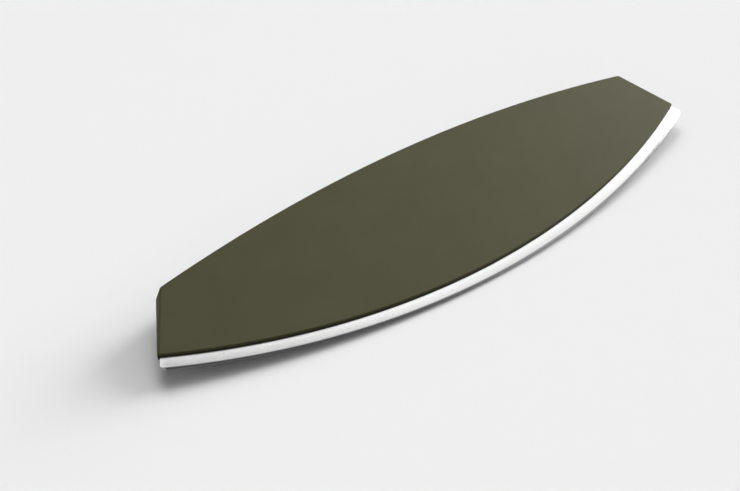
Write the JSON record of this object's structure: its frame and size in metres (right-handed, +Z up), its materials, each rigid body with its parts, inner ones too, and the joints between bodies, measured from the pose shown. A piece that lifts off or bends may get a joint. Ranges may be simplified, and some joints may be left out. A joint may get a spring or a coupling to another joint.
{
  "type": "herb_knife",
  "caption": "Rocking herb knife: a long curved steel blade along the lower side of a lens-shaped, wedge-section two-shell plastic handle that is gripped with both hands.",
  "frame": {"origin": "on the surface it lies on, under the middle of the bounding box", "axes": "+X along the knife from tip to tip, +Y from the cutting edge to the spine, +Z up, out of the face that is uppermost"},
  "size_m": [0.3682, 0.093, 0.0337],
  "materials": {
    "handle_plastic": "matte moulded dark olive",
    "blade_steel": "stainless, fine brushed along the blade, ground edge band",
    "pin_steel": "plain ground dowel"
  },
  "bodies": {
    "root": {"blade": "blade_steel", "front_shell": "handle_plastic", "rear_shell": "handle_plastic", "tang_pin_1": "pin_steel", "tang_pin_2": "pin_steel", "tang_pin_3": "pin_steel", "tang_pin_4": "pin_steel", "tang_pin_5": "pin_steel", "tang_pin_6": "pin_steel"}
  },
  "joints": []
}
